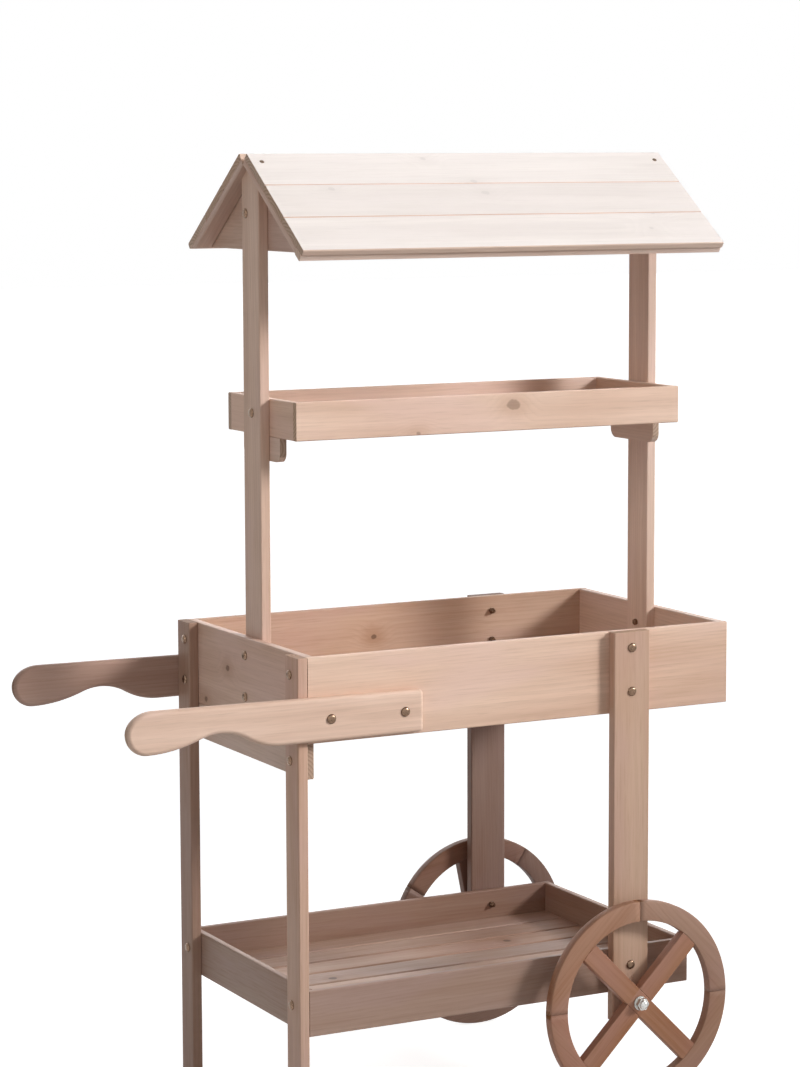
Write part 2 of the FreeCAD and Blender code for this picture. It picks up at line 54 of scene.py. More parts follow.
# ---- sizes shared with the model, in metres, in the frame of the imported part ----
TRAY_X = 0.1575                 # middle of the planting tray
HALF_LENGTH = 0.4               # of the planting tray
TRAY_TOP = 0.807
LOWER_TOP = 0.2615              # top edge of the lower tray
OUTER_FACE = 0.2555             # of the handles and the wheel legs
POST_OUTER = 0.384              # outer face of the posts, from the tray's middle
APEX = 1.5875                   # where the rafters meet
PITCH = math.radians(36)        # of the roof
BOARD = 0.012                   # thickness of most boards
END_BOARD = 0.016               # thickness of the planting tray's ends
STOUT = 0.018                   # thickness of legs, posts, handles and rims
SLAT_PITCH = 0.065329
SHELF_SLAT_PITCH = 0.061
WHEEL_X = 0.3555
AXLE_HEIGHT = 0.175
WHEEL_RADIUS = 0.175
RIM_INNER = 0.141
SPOKE_WIDTH = 0.034
WHEEL_INNER_FACE = 0.2678
WHEEL_TURNS = {"front": math.radians(45), "rear": math.radians(-11.2)}
OPEN_JOINT = 0.0003             # between a rim's segments, and about the spokes' half-lap

# ---- places of the bolts, in metres ----
HANDLE_BOLT_INSETS = (0.033, 0.167)     # from the planting tray's left end
HANDLE_BOLT_DROP = 0.0985
WHEEL_LEG_DROPS = {-1: (0.027, 0.1015), 1: (0.027, 0.080)}
FOOT_LEG_DROPS = (0.030, 0.100, 0.170)
FOOT_LEG_Y = 0.20775
POST_DROPS = (0.030, 0.100)
LOWER_DROP = 0.027                      # below the lower tray's top edge
SHELF_BOLT_RISE = 0.374                 # above the planting tray's top edge
GABLE_BOLT_Y = 0.017
GABLE_BOLT_DROP = 0.079                 # below the roof's apex
SHANK = (0.0030, 0.040)                 # radius, and depth from the seat
HEAD = ((0.0030, 0.0), (0.0077, 0.0), (0.0080, -0.0003), (0.0080, -0.0009), (0.0074, -0.0020),
        (0.0062, -0.0030), (0.0046, -0.0036), (0.0026, -0.0039), (0.0010, -0.0040))
NUT_HALF = 0.005                        # from the nut's middle to its flats
SCREW = ((0.0038, -0.002), (0.0040, 0.0), (0.0038, 0.0004), (0.0017, 0.0005), (0.0014, 0.0001))
SCREW_X = 0.377                         # from the roof's middle
SCREW_DOWN = 0.0235                     # down the slope from the apex

# ---- outline of the handles, in metres ----
HANDLE_DROP = 0.065             # from the tray's top edge to the handle's
HANDLE_WIDTH = 0.070
HANDLE_LAP = 0.2015             # along the tray's front
TIP_REACH = 0.319               # from the tray's end to the tip
WAIST_REACH = 0.160             # from the tray's end to the top of the hollow
CREST_RISE = 0.029              # of the hollow above the lower edge
BELLY_RUN = 0.106               # from the hollow's top to the belly's lowest point
HOLLOW_RADIUS = 0.090
NOSE_RADIUS = 0.035
NOSE_LIFT = 0.005               # of the grip's top above the handle's upper edge
NOSE_RUN = 0.046                # how far back from the tip the grip's upper edge starts to fall

# ---- boards: direction of the grain, by how their names start ----
ALONG_X = ("tray_board", "lower_board", "tray_slats", "lower_slats", "shelf_board",
           "shelf_slats", "handle", "roof_plank", "eave_strip")
ALONG_Y = ("tray_end", "lower_end", "apron", "tray_bearers", "lower_bearers", "shelf_end",
           "shelf_cleat", "gable_panel")
ALONG_Z = ("foot_leg", "wheel_leg", "post")
ON_SLOPE = ("roof_plank", "rafter", "eave_strip")
UPRIGHT = Euler((math.pi / 2, 0, 0))    # a board on edge, with its grain along x
REPEATS = {"tray_slats": SLAT_PITCH, "lower_slats": SLAT_PITCH, "shelf_slats": SHELF_SLAT_PITCH}
LONE = 10.0                             # a repeat so long that only one board is met

# brightness, saturation and hue of boards, by how their names start: the first one that fits. Much
# of this is painted light and shade: the rear boards, the parts below the tray and the rear wheel,
# legs and handle are painted darker, more saturated and redder as painted shade, the gable panel
# darker for the roof's shade, and the right post lighter as painted light on its lit left face
TONES_WITH_PAINTED_LIGHT_AND_SHADE = {
    "roof_plank": (1.02, 0.85, 0.5),
    # painted shade: the rear board's inner face is darkened for the shade in the tray
    "tray_board_rear": (0.8, 1.0, 0.5),
    "tray_board_front": (1.17, 0.95, 0.5),
    "shelf_board_front": (1.02, 0.88, 0.5),
    "shelf_board_rear": (1.05, 0.9, 0.5),
    "tray_end_left": (0.95, 0.98, 0.497),
    "eave_strip": (1.32, 0.7, 0.5),
    "rafter": (0.92, 0.9, 0.495),
    # painted shade: the gable panel is darkened for the shade under the roof
    "gable_panel": (0.74, 1.05, 0.497),
    # painted shade: the lower tray is darker and redder for the dim light below the planting tray
    "lower_board_rear": (0.49, 1.08, 0.492),
    "lower": (0.62, 1.1, 0.494),
    # painted light: the right post is lightened for the light on its left face
    "post_right": (1.16, 0.9, 0.5),
    # painted shade: wheels, wheel legs, foot legs and the rear handle are darker and redder, the
    # rear ones most, for the dim light low down and behind the cart
    "wheel_rim_front": (0.62, 1.4, 0.49),
    "wheel_rim_rear": (0.31, 1.3, 0.486),
    "wheel_spokes_front": (0.62, 1.4, 0.49),
    "wheel_spokes_rear": (0.31, 1.3, 0.486),
    "wheel_leg_front": (0.83, 1.12, 0.5),
    "wheel_leg_rear": (0.36, 1.2, 0.488),
    "foot_leg_front": (0.85, 1.2, 0.495),
    "foot_leg_rear": (0.52, 1.2, 0.493),
    "handle_front": (1.16, 0.96, 0.5),
    "handle_rear": (0.54, 1.1, 0.488),
}
PLAIN_TONE = (1.0, 0.93, 0.5)

# two placed knots a board: where along and across it, and how much smaller than the largest
FAR = (9.0, 9.0, 0.0)
KNOTS = {
    "shelf_board_front": ((0.0387, 0.0126, -0.002), (-0.142, -0.0283, 0.004)),
    "tray_end_left": ((0.07, 0.008, 0.002), (0.16, -0.058, 0.003)),
    "tray_board_rear": ((-0.043, 0.0133, 0.003), FAR),
    "roof_plank_front_1": ((-0.077, 0.026, 0.003), (-0.009, -0.038, 0.003)),
    "roof_plank_front_2": ((-0.001, 0.017, 0.002), (-0.281, 0.031, 0.003)),
    "roof_plank_front_3": ((0.296, 0.042, 0.004), (0.272, 0.0, 0.004)),
}
KNOT_DEPTH = {"roof_plank_front": 0.25, "shelf_board": 0.45}
PLAIN_KNOT_DEPTH = 0.7
KNOT_CELLS = 5.2                # places for a scattered knot in a metre
CLEAR = 1.0                     # no scattered knots
SOME_KNOTS = 0.86
RING_WIDTH = 0.0055             # of a growth ring, in metres

# ---- colours ----
LIGHT_WOOD = (0.775, 0.55, 0.425, 1)
DARK_WOOD = (0.60, 0.385, 0.275, 1)
LATE_WOOD = (0.40, 0.235, 0.145, 1)
CREAM_WOOD = (0.82, 0.63, 0.51, 1)
ROSY_WOOD = (0.72, 0.50, 0.43, 1)
FIBRE_WOOD = (0.42, 0.26, 0.17, 1)
# painted light: the pale, greyer colour of the roof's upward faces
PAINTED_LIGHT_WOOD = (0.74, 0.54, 0.43, 1)
KNOT_STAIN = (0.40, 0.21, 0.11, 1)
KNOT_HEART = (0.11, 0.05, 0.028, 1)
END_LIGHT = (0.52, 0.345, 0.235, 1)
END_DARK = (0.27, 0.155, 0.095, 1)
END_PORE = (0.30, 0.18, 0.11, 1)
BRONZE = (0.24, 0.155, 0.105)
ZINC = (0.62, 0.62, 0.60)
NYLON_LIGHT = (0.80, 0.79, 0.74, 1)
NYLON_DARK = (0.66, 0.64, 0.58, 1)


# ---- node helpers ----

def put(tree, socket, value):
    """Link an input to a socket, or set its value."""
    if isinstance(value, bpy.types.NodeSocket):
        tree.links.new(value, socket)
    else:
        socket.default_value = value


def add_node(tree, kind, **values):
    """A node with its properties and inputs set; _0 and _1 are inputs by number."""
    node = tree.nodes.new(kind)
    for key, value in values.items():
        if key in node.inputs:
            put(tree, node.inputs[key], value)
        elif hasattr(node, key):
            setattr(node, key, value)
        else:
            put(tree, node.inputs[int(key.strip("_"))], value)
    return node


def sums(tree, operation, *terms):
    """A Math node's result."""
    node = tree.nodes.new("ShaderNodeMath")
    node.operation = operation
    for index, term in enumerate(terms):
        put(tree, node.inputs[index], term)
    return node.outputs[0]


def plus(tree, first, second):
    return sums(tree, "ADD", first, second)


def minus(tree, first, second):
    return sums(tree, "SUBTRACT", first, second)


def times(tree, first, second):
    return sums(tree, "MULTIPLY", first, second)


def length(tree, first, second):
    """The length of a vector from its two parts."""
    return sums(tree, "SQRT", plus(tree, times(tree, first, first), times(tree, second, second)))


def fade(tree, value, low, high, to_low=0.0, to_high=1.0):
    """A smooth step from one value to another."""
    node = tree.nodes.new("ShaderNodeMapRange")
    node.interpolation_type = "SMOOTHSTEP"
    tree.links.new(value, node.inputs["Value"])
    for key, number in zip(("From Min", "From Max", "To Min", "To Max"),
                           (low, high, to_low, to_high)):
        node.inputs[key].default_value = number
    return node.outputs["Result"]


def blend_colours(tree, share, first, second):
    """The first colour, with a share of the second."""
    node = tree.nodes.new("ShaderNodeMix")
    node.data_type = "RGBA"
    for index, value in ((0, share), (6, first), (7, second)):
        put(tree, node.inputs[index], value)
    return node.outputs[2]


def noise(tree, vector, scale, detail=2.0, roughness=0.5):
    """Soft noise from 0 to 1."""
    node = add_node(tree, "ShaderNodeTexNoise", Vector=vector, Scale=scale, Detail=detail,
                    Roughness=roughness)
    return node.outputs["Fac"]


def stretched_noise(tree, vector, sizes, scale, detail, roughness=0.5):
    """Noise that is drawn out along the grain."""
    stretched = add_node(tree, "ShaderNodeVectorMath", operation="MULTIPLY", _0=vector, _1=sizes)
    return noise(tree, stretched.outputs[0], scale, detail, roughness)


def parts(tree, vector):
    """A vector's or colour's three parts."""
    return add_node(tree, "ShaderNodeSeparateXYZ", Vector=vector).outputs


def new_material(name):
    """A material, its node tree and its shader."""
    material = bpy.data.materials.new(name)
    material.use_nodes = True
    return material, material.node_tree, material.node_tree.nodes["Principled BSDF"]


def add_bump(tree, shader, height, strength, distance):
    """Fine relief on a shader."""
    bump = add_node(tree, "ShaderNodeBump", Strength=strength, Distance=distance, Height=height)
    tree.links.new(bump.outputs[0], shader.inputs["Normal"])


# ---- timber ----

def one_board(tree, given):
    """Coordinates on one board out of a row of them, its own shifted ones, and its chances."""
    x, y, z = parts(tree, given["Place"])
    cell = sums(tree, "ROUND", sums(tree, "DIVIDE", y, given["Repeat"]))
    y = minus(tree, y, times(tree, cell, given["Repeat"]))
    seed = plus(tree, given["Seed"], times(tree, cell, 7.31))
    place = add_node(tree, "ShaderNodeCombineXYZ", X=x, Y=y, Z=z).outputs[0]
    shift = add_node(tree, "ShaderNodeCombineXYZ", X=seed, Y=times(tree, seed, 1.7),
                     Z=times(tree, seed, 0.6)).outputs[0]
    moved = add_node(tree, "ShaderNodeVectorMath", operation="ADD", _0=place, _1=shift).outputs[0]
    chance = add_node(tree, "ShaderNodeTexWhiteNoise", noise_dimensions="1D", W=seed)
    return x, y, z, moved, parts(tree, chance.outputs["Color"])


def knot_distance(tree, x, y, moved, given):
    """How far the nearest knot is: a few scattered ones, and two that are placed."""
    cells = add_node(tree, "ShaderNodeTexVoronoi", voronoi_dimensions="2D", Vector=moved,
                     Scale=KNOT_CELLS).outputs
    chosen = sums(tree, "GREATER_THAN", parts(tree, cells["Color"])[0], given["Clear"])
    near = plus(tree, sums(tree, "DIVIDE", cells["Distance"], KNOT_CELLS),
                minus(tree, 1.0, chosen))
    for letter in "AB":
        knot = parts(tree, given["Knot " + letter])
        along = times(tree, minus(tree, x, knot[0]), 0.75)
        across = minus(tree, y, knot[1])
        near = sums(tree, "MINIMUM", near, plus(tree, length(tree, along, across), knot[2]))
    ragged = times(tree, noise(tree, moved, 90.0, 3.0), 0.006)
    return plus(tree, near, minus(tree, ragged, 0.003))


def late_wood(tree, x, y, z, moved, lot, swell):
    """The dark part of each growth ring about a pith that runs beside the board."""
    wander = stretched_noise(tree, moved, (1.3, 6.0, 6.0), 1.0, 2.0)
    sway = times(tree, minus(tree, wander, 0.5), 0.03)
    lean = times(tree, minus(tree, lot[0], 0.5), 0.05)
    aside = times(tree, minus(tree, lot[1], 0.5), 0.11)
    deep = plus(tree, 0.012, times(tree, lot[2], 0.05))
    ring_y = plus(tree, plus(tree, minus(tree, y, aside), times(tree, x, lean)), sway)
    ring_z = plus(tree, plus(tree, z, deep), times(tree, sway, 0.6))
    radius = plus(tree, length(tree, ring_y, ring_z), swell)
    fine = stretched_noise(tree, moved, (2.5, 55.0, 55.0), 1.0, 4.0, 0.6)
    radius = plus(tree, radius, times(tree, fine, 0.0025))
    phase = sums(tree, "FRACT", sums(tree, "DIVIDE", radius, RING_WIDTH))
    return times(tree, fade(tree, phase, 0.25, 0.88), fade(tree, phase, 0.9, 1.0, 1.0, 0.0))


def face_colour(tree, moved, late, fibre):
    """Streaks, rings, pale clouds, a blush and fibres on the sawn faces."""
    streak = stretched_noise(tree, moved, (1.1, 22.0, 22.0), 1.0, 5.0, 0.6)
    cloud = stretched_noise(tree, moved, (2.2, 5.0, 5.0), 1.0, 3.0)
    blush = stretched_noise(tree, moved, (3.0, 9.0, 9.0), 1.3, 2.0)
    colour = blend_colours(tree, fade(tree, streak, 0.3, 0.72), LIGHT_WOOD, DARK_WOOD)
    colour = blend_colours(tree, times(tree, late, 0.13), colour, LATE_WOOD)
    colour = blend_colours(tree, fade(tree, cloud, 0.42, 0.7, 0.0, 0.35), colour, CREAM_WOOD)
    colour = blend_colours(tree, fade(tree, blush, 0.45, 0.68, 0.0, 0.45), colour, ROSY_WOOD)
    return blend_colours(tree, fade(tree, fibre, 0.5, 0.75, 0.0, 0.25), colour, FIBRE_WOOD)


def knotted(tree, colour, halo, core, depth):
    """A knot's dark heart and the stain about it."""
    stain = times(tree, halo, times(tree, depth, 0.55))
    colour = blend_colours(tree, stain, colour, KNOT_STAIN)
    return blend_colours(tree, times(tree, core, depth), colour, KNOT_HEART)


def end_colour(tree, moved, late):
    """End grain is darker, with its rings plainer."""
    pores = noise(tree, moved, 700.0, 2.0)
    colour = blend_colours(tree, times(tree, late, 0.6), END_LIGHT, END_DARK)
    return blend_colours(tree, fade(tree, pores, 0.5, 0.7, 0.0, 0.3), colour, END_PORE)


def timber_group():
    """Sawn softwood from a board's own coordinates: x along the grain, y across its face."""
    tree = bpy.data.node_groups.new("timber", "ShaderNodeTree")
    vectors = ("Place", "Normal", "Knot A", "Knot B")
    for name in vectors + ("Seed", "Repeat", "Clear", "Depth"):
        kind = "NodeSocketVector" if name in vectors else "NodeSocketFloat"
        tree.interface.new_socket(name, in_out="INPUT", socket_type=kind)
    tree.interface.new_socket("Colour", in_out="OUTPUT", socket_type="NodeSocketColor")
    tree.interface.new_socket("Roughness", in_out="OUTPUT", socket_type="NodeSocketFloat")
    tree.interface.new_socket("Height", in_out="OUTPUT", socket_type="NodeSocketFloat")
    given = tree.nodes.new("NodeGroupInput").outputs
    x, y, z, moved, lot = one_board(tree, given)
    near = knot_distance(tree, x, y, moved, given)
    swell = fade(tree, near, 0.0, 0.045, 0.016, 0.0)
    core = fade(tree, near, 0.0055, 0.0085, 1.0, 0.0)
    halo = fade(tree, near, 0.006, 0.03, 1.0, 0.0)
    late = late_wood(tree, x, y, z, moved, lot, swell)
    fibre = stretched_noise(tree, moved, (14.0, 420.0, 420.0), 1.0, 2.0, 0.7)
    colour = knotted(tree, face_colour(tree, moved, late, fibre), halo, core, given["Depth"])
    end = fade(tree, sums(tree, "ABSOLUTE", parts(tree, given["Normal"])[0]), 0.8, 0.95)
    colour = blend_colours(tree, end, colour, end_colour(tree, moved, late))
    tone = add_node(tree, "ShaderNodeHueSaturation", Color=colour,
                    Value=fade(tree, lot[1], 0.0, 1.0, 0.92, 1.07),
                    Saturation=fade(tree, lot[2], 0.0, 1.0, 0.9, 1.1)).outputs[0]
    rough = plus(tree, fade(tree, fibre, 0.3, 0.8, 0.48, 0.66), times(tree, end, 0.15))
    height = plus(tree, times(tree, late, 0.4), times(tree, fibre, 0.6))
    height = minus(tree, height, times(tree, core, 0.5))
    add_node(tree, "NodeGroupOutput", Colour=tone, Roughness=rough, Height=height)
    return tree


TIMBER = timber_group()


def to_board(tree, source, turn, centre=(0, 0, 0)):
    """Coordinates or normals in the frame, taken to a board's own axes."""
    node = add_node(tree, "ShaderNodeMapping", vector_type="TEXTURE", Location=centre,
                    Rotation=turn, Vector=source)
    return node.outputs[0]


def tone_with_painted_light_and_shade(name):
    """A board's brightness, saturation and hue: the roof is palest, the lower and rear parts are
    painted browner and darker as painted shade, and the right post lighter as painted light.
    """
    for start, tone in TONES_WITH_PAINTED_LIGHT_AND_SHADE.items():
        if name.startswith(start):
            return tone
    return PLAIN_TONE


def painted_top_light(tree, colour, plain, facing):
    """Painted light: the roof's upward faces are painted paler and greyer than its edges and
    underside, for the strong light that falls on them.
    """
    calm = blend_colours(tree, 0.5, colour, PAINTED_LIGHT_WOOD)
    painted_pale = add_node(tree, "ShaderNodeHueSaturation", Value=1.25, Saturation=0.28, Color=calm)
    return blend_colours(tree, fade(tree, parts(tree, facing)[2], 0.75, 0.95), plain,
                         painted_pale.outputs[0])


def timber(name, centre, turn, seed, clear, repeat=LONE):
    """A board's material: centre and turn take the frame to the board's own coordinates."""
    material, tree, shader = new_material("timber_" + name)
    where = tree.nodes.new("ShaderNodeTexCoord").outputs
    facing = to_board(tree, where["Normal"], turn)
    group = tree.nodes.new("ShaderNodeGroup")
    group.node_tree = TIMBER
    knots = KNOTS.get(name, (FAR, FAR))
    depth = KNOT_DEPTH.get(name.rsplit("_", 1)[0], PLAIN_KNOT_DEPTH)
    for key, value in (("Place", to_board(tree, where["Object"], turn, centre)),
                       ("Normal", facing), ("Seed", seed), ("Repeat", repeat), ("Clear", clear),
                       ("Knot A", knots[0]), ("Knot B", knots[1]), ("Depth", depth)):
        put(tree, group.inputs[key], value)
    colour = group.outputs["Colour"]
    # painted light and shade: the board's brightness, saturation and hue from the tone table
    brightness_with_painted_shade, warm, hue = tone_with_painted_light_and_shade(name)
    surface = add_node(tree, "ShaderNodeHueSaturation", Value=brightness_with_painted_shade, Saturation=warm, Hue=hue,
                       Color=colour).outputs[0]
    # painted light: the roof planks' upward faces are painted paler
    if name.startswith("roof_plank"):
        surface = painted_top_light(tree, colour, surface, facing)
    tree.links.new(surface, shader.inputs["Base Color"])
    tree.links.new(group.outputs["Roughness"], shader.inputs["Roughness"])
    shader.inputs["Specular IOR Level"].default_value = 0.3
    add_bump(tree, shader, group.outputs["Height"], 0.35, 0.0004)
    return material


def grain_turn(name):
    """Rotation from a board's own axes (x grain, y width, z thickness) to the frame's."""
    if name.startswith(ON_SLOPE):
        lean = Matrix.Rotation(-PITCH if "rear" in name else PITCH, 3, "X")
        if name.startswith("rafter"):
            lean = lean @ Matrix.Rotation(math.pi / 2, 3, "Z")
        return lean.to_euler()
    flat = "slats" in name or "bearers" in name
    if name.startswith(ALONG_X):
        return Euler((0, 0, 0)) if flat else UPRIGHT
    if name.startswith(ALONG_Y):
        if flat:
            return Euler((0, 0, math.pi / 2))
        return Matrix(((0, 0, 1), (1, 0, 0), (0, 1, 0))).to_euler()
    if name.startswith(("post", "foot_leg")):
        return Matrix(((0, 0, 1), (0, 1, 0), (1, 0, 0))).to_euler()
    return Matrix(((0, 1, 0), (0, 0, 1), (1, 0, 0))).to_euler()


def paint_boards():
    """Every board gets a material of its own."""
    chance = random.Random(7)
    for name in sorted(frame["nodes"]):
        seed = chance.uniform(0, 40)
        node = frame["nodes"][name]
        if not name.startswith(ALONG_X + ALONG_Y + ALONG_Z + ("rafter",)):
            continue
        low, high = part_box(name)
        centre = (Vector(low) + Vector(high)) / 2
        if name == "shelf_slats":
            centre.y += SHELF_SLAT_PITCH / 2
        clear = CLEAR if name in KNOTS or name.startswith(ALONG_Z) else SOME_KNOTS
        board = timber(name, centre, grain_turn(name), seed, clear, REPEATS.get(name, LONE))
        put_material(node, board)
        soften(node)


# ---- metals and nylon ----

def metal(name, colour, roughness, grime):
    """Steel with dull spots: grime is their share of the colour's brightness."""
    material, tree, shader = new_material(name)
    shader.inputs["Metallic"].default_value = 1.0
    where = tree.nodes.new("ShaderNodeTexCoord").outputs["Object"]
    spots = noise(tree, where, 420.0, 4.0, 0.65)
    dull = tuple(channel * grime for channel in colour) + (1,)
    tint = blend_colours(tree, fade(tree, spots, 0.42, 0.7), colour + (1,), dull)
    tree.links.new(tint, shader.inputs["Base Color"])
    worn = noise(tree, where, 900.0, 3.0)
    rough = fade(tree, worn, 0.3, 0.7, roughness - 0.08, roughness + 0.14)
    tree.links.new(rough, shader.inputs["Roughness"])
    add_bump(tree, shader, spots, 0.2, 0.0001)
    return material


def nylon():
    """Off-white nylon for the wheel bushes."""
    material, tree, shader = new_material("bush_nylon")
    where = tree.nodes.new("ShaderNodeTexCoord").outputs["Object"]
    cloud = noise(tree, where, 160.0, 3.0)
    tint = blend_colours(tree, fade(tree, cloud, 0.35, 0.7), NYLON_LIGHT, NYLON_DARK)
    tree.links.new(tint, shader.inputs["Base Color"])
    tree.links.new(fade(tree, cloud, 0.3, 0.7, 0.4, 0.6), shader.inputs["Roughness"])
    return material


# ---- making pieces ----

def put_material(piece, material):
    """One material on every slot of a piece."""
    if not piece.material_slots:
        piece.data.materials.append(material)
    for place in piece.material_slots:
        place.material = material


def add_bevel(piece, label, width, segments, degrees):
    """Rounded edges, where faces meet at more than the given angle."""
    bevel = piece.modifiers.new(label, "BEVEL")
    bevel.width = width
    bevel.segments = segments
    bevel.limit_method = "ANGLE"
    bevel.angle_limit = math.radians(degrees)
    return bevel


def soften(piece, width=0.0007):
    """Slightly rounded arrises on a board, with its faces kept flat."""
    weld = piece.modifiers.new("weld", "WELD")
    weld.merge_threshold = 0.00001
    add_bevel(piece, "arris", width, 2, 30)
    flat = piece.modifiers.new("flat_faces", "WEIGHTED_NORMAL")
    flat.mode = "FACE_AREA"
    flat.weight = 100


def put_in_scene(name, data):
    """An object with its data, in the scene."""
    piece = bpy.data.objects.new(name, data)
    bpy.context.scene.collection.objects.link(piece)
    return piece


def new_piece(name, mesh, body, material, replaced=()):
    """A piece that rides on a body, and takes the place of the nodes that it replaces."""
    bmesh.ops.recalc_face_normals(mesh, faces=mesh.faces)
    data = bpy.data.meshes.new(name)
    mesh.to_mesh(data)
    mesh.free()
    piece = put_in_scene(name, data)
    data.materials.append(material)
    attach(piece, body)
    if replaced:
        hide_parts(*replaced)
    return piece


def skin(mesh, rings, smooth=True):
    """Walls between neighbouring rings of vertices, and a flat cap on each end."""
    count = len(rings[0])
    for lower, upper in zip(rings, rings[1:]):
        for step in range(count):
            after = (step + 1) % count
            face = mesh.faces.new((lower[step], lower[after], upper[after], upper[step]))
            face.smooth = smooth
    mesh.faces.new(tuple(reversed(rings[0])))
    mesh.faces.new(tuple(rings[-1]))


def lathe(mesh, profile, seat, direction, sides, smooth=True):
    """Turn (radius, height) points about a direction from a seat."""
    turn = Vector((0, 0, 1)).rotation_difference(direction).to_matrix()
    rings = []
    for radius, height in profile:
        ring = []
        for step in range(sides):
            angle = 2 * math.pi * step / sides
            point = Vector((radius * math.cos(angle), radius * math.sin(angle), height))
            ring.append(mesh.verts.new(seat + turn @ point))
        rings.append(ring)
    skin(mesh, rings, smooth)


# ---- bolts and screws ----

def bolt_places():
    """The seats and directions of every group of bolts, and the thickness each one clamps."""
    groups = {"handle_bolts": [], "wheel_leg_bolts": [], "foot_leg_bolts": [], "post_bolts": []}
    left = TRAY_X - HALF_LENGTH
    low = LOWER_TOP - LOWER_DROP
    thin, thick = STOUT + BOARD, STOUT + END_BOARD
    for side in (-1, 1):
        inward = Vector((0, -side, 0))
        for inset in HANDLE_BOLT_INSETS:
            seat = Vector((left + inset, side * OUTER_FACE, TRAY_TOP - HANDLE_BOLT_DROP))
            groups["handle_bolts"].append((seat, inward, thin))
        for z in [TRAY_TOP - drop for drop in WHEEL_LEG_DROPS[side]] + [low]:
            seat = Vector((WHEEL_X, side * OUTER_FACE, z))
            groups["wheel_leg_bolts"].append((seat, inward, thin))
        for z, grip in [(TRAY_TOP - drop, thick) for drop in FOOT_LEG_DROPS] + [(low, thin)]:
            seat = Vector((left - STOUT, side * FOOT_LEG_Y, z))
            groups["foot_leg_bolts"].append((seat, Vector((1, 0, 0)), grip))
        posts = [(HALF_LENGTH, 0, TRAY_TOP - drop, thick) for drop in POST_DROPS]
        posts.append((POST_OUTER, 0, TRAY_TOP + SHELF_BOLT_RISE, thin))
        posts.append((POST_OUTER, GABLE_BOLT_Y, APEX - GABLE_BOLT_DROP, thin))
        for x, y, z, grip in posts:
            seat = Vector((TRAY_X + side * x, y, z))
            groups["post_bolts"].append((seat, Vector((-side, 0, 0)), grip))
    return groups


def add_nut(mesh, seat, direction):
    """A chamfered hexagonal nut on its seat."""
    corner = NUT_HALF / math.cos(math.pi / 6)
    levels = ((corner * 0.9, 0.0), (corner, 0.0004), (corner, 0.0045), (corner * 0.9, 0.005))
    lathe(mesh, levels, seat, direction, 6, smooth=False)


def bolts(bronze):
    """Domed heads outside with plain shanks through the boards, and nuts inside."""
    nuts = bmesh.new()
    for name, places in bolt_places().items():
        mesh = bmesh.new()
        for seat, direction, grip in places:
            lathe(mesh, (SHANK,) + HEAD, seat, direction, 24)
            add_nut(nuts, seat + direction * grip, direction)
        new_piece(name + "_round", mesh, "cart", bronze, (name,))
    new_piece("bolt_nuts_chamfered", nuts, "cart", bronze, ("bolt_nuts",))


def roof_screws(steel):
    """A screw at each end of the planks by the ridge."""
    mesh = bmesh.new()
    for side in (-1, 1):
        down = Vector((0, side * math.cos(PITCH), -math.sin(PITCH)))
        out = Vector((0, side * math.sin(PITCH), math.cos(PITCH)))
        for end in (-1, 1):
            seat = Vector((TRAY_X + end * SCREW_X, 0, APEX)) + down * SCREW_DOWN
            seat += out * (2 * BOARD + 0.0002)
            lathe(mesh, SCREW, seat, out, 16)
    new_piece("roof_screws", mesh, "cart", steel)


# ---- handles ----

def arc_points(centre, radius, start, end, count):
    """Points on an arc after its first one."""
    points = []
    for step in range(1, count + 1):
        turn = start + (end - start) * step / count
        points.append(Vector((centre[0] + radius * math.cos(turn),
                              centre[1] + radius * math.sin(turn))))
    return points


def handle_outline():
    """Side view in x and z, as the solid one but with smooth arcs."""
    half = math.pi / 2
    left = TRAY_X - HALF_LENGTH
    top = TRAY_TOP - HANDLE_DROP
    under = top - HANDLE_WIDTH
    crest = under + CREST_RISE
    tip, waist, end = left - TIP_REACH, left - WAIST_REACH, left + HANDLE_LAP
    nose = (tip + NOSE_RADIUS, top + NOSE_LIFT - NOSE_RADIUS)
    hollow = (waist, crest - HOLLOW_RADIUS)
    reach = (BELLY_RUN ** 2 + CREST_RISE ** 2) / (2 * CREST_RISE)
    belly = (waist + BELLY_RUN, under + reach - HOLLOW_RADIUS)
    lean = math.asin(BELLY_RUN / reach)
    drop = crest - (nose[1] - NOSE_RADIUS)
    run = waist - nose[0]
    grip_reach = (run ** 2 + drop ** 2) / (2 * drop)
    grip_lean = math.asin(run / grip_reach)
    lobe = (nose[0], nose[1] - NOSE_RADIUS + grip_reach - HOLLOW_RADIUS)
    outline = [Vector((end, under)), Vector((belly[0], under))]
    outline += arc_points(belly, reach - HOLLOW_RADIUS, -half, -half - lean, 10)
    outline += arc_points(hollow, HOLLOW_RADIUS, half - lean, half + grip_lean, 20)
    outline += arc_points(lobe, grip_reach - HOLLOW_RADIUS, -half + grip_lean, -half, 8)
    outline += arc_points(nose, NOSE_RADIUS, -half, -2 * half, 14)
    for point in arc_points((0, 0), 1.0, -2 * half, -3 * half, 14):
        outline.append(Vector((tip + NOSE_RUN * (1 + point.x), nose[1] + NOSE_RADIUS * point.y)))
    outline.append(Vector((end, top)))
    return outline


def handles():
    """The two handles with their edges rounded all round."""
    for side, name in ((-1, "front"), (1, "rear")):
        low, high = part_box("handle_" + name)
        mesh = bmesh.new()
        rings = []
        for level in (low[1], high[1]):
            rings.append([mesh.verts.new((point.x, level, point.y)) for point in handle_outline()])
        skin(mesh, rings)
        centre = (Vector(low) + Vector(high)) / 2
        label = "handle_" + name
        material = timber(label, centre, UPRIGHT, 11.0 + 5 * side, CLEAR)
        piece = new_piece("handle_" + name + "_shaped", mesh, "cart", material,
                          ("handle_" + name,))
        add_bevel(piece, "rounding", 0.0075, 5, 50).harden_normals = True


# ---- wheels ----

